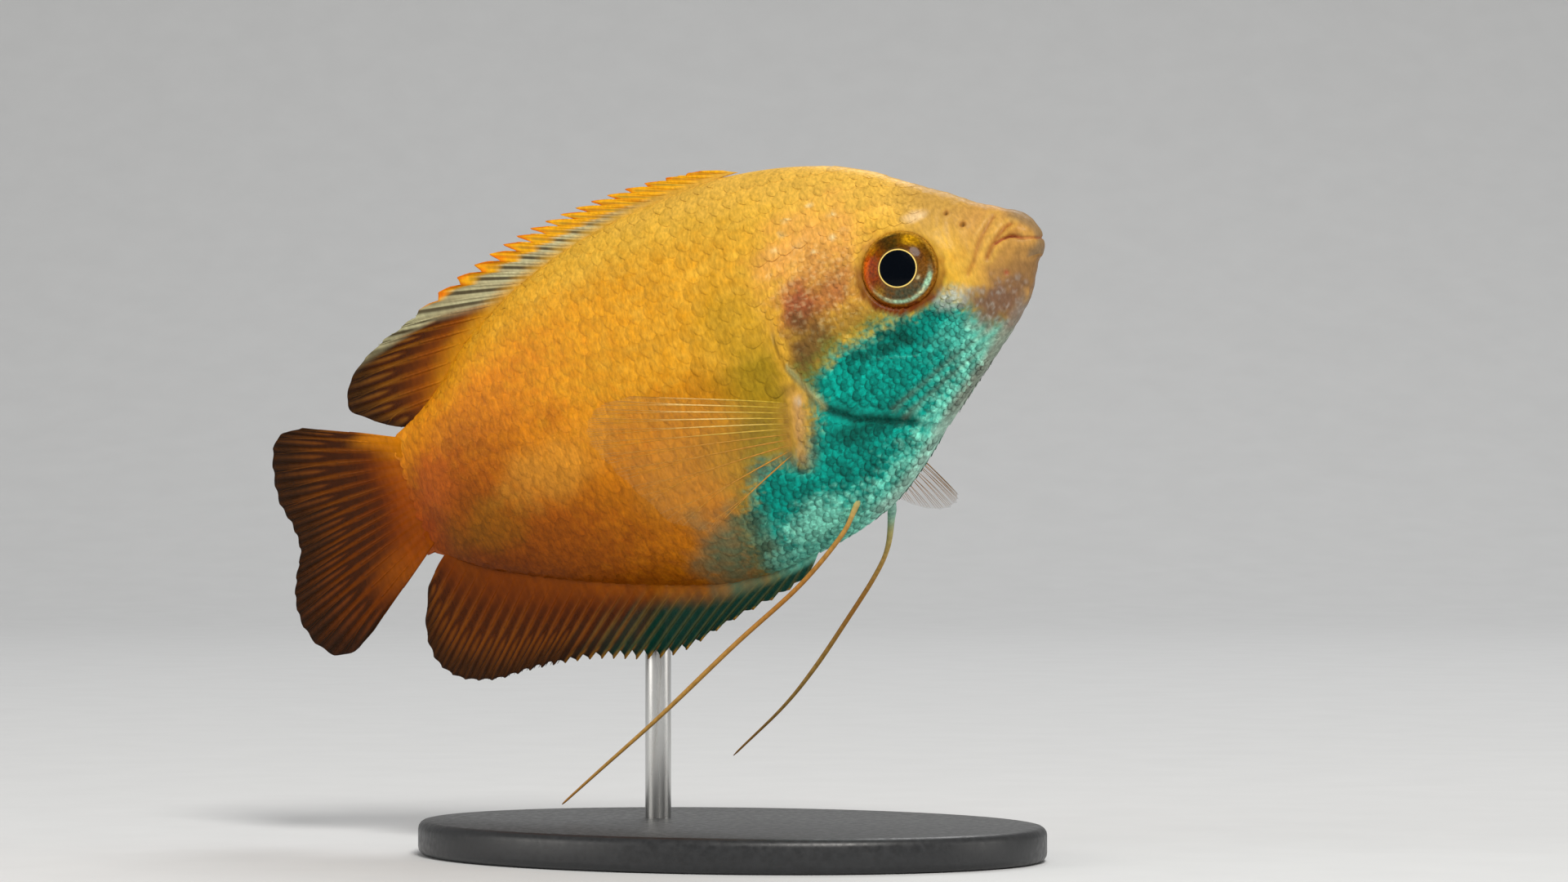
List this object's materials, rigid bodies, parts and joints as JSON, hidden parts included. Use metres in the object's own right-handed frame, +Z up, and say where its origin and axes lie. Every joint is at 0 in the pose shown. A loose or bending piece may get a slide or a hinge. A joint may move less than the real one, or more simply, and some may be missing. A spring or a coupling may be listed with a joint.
{
  "type": "honey gourami",
  "caption": "Life-size still model of a small deep-bodied aquarium fish, nose up, with a serrated back fin, a long belly fin, a notched tail and thread-like feelers, on an oval stand.",
  "frame": {"origin": "middle of the underside of the stand's base", "axes": "+X the way the snout points seen from above, +Y the fish's left, +Z up"},
  "size_m": [0.0513, 0.0283, 0.0394],
  "materials": {
    "skin": "moist scaled skin, golden, turquoise at the throat",
    "fin": "thin ribbed fin, amber to olive",
    "feeler": "smooth, pale orange",
    "eye": "wet and clear over a dark pupil",
    "stand_base": "satin black",
    "stand_rod": "brushed"
  },
  "bodies": {
    "root": {"head": "skin", "trunk": "skin", "tail_stalk": "skin", "eye_left": "eye", "eye_right": "eye", "dorsal_fin": "fin", "anal_fin": "fin", "tail_fin": "fin", "pectoral_fin_left": "fin", "pectoral_fin_right": "fin", "feeler_left_root": "feeler", "feeler_left_tip": "feeler", "feeler_right_root": "feeler", "feeler_right_tip": "feeler", "stand_base": "stand_base", "stand_rod": "stand_rod"}
  },
  "joints": []
}
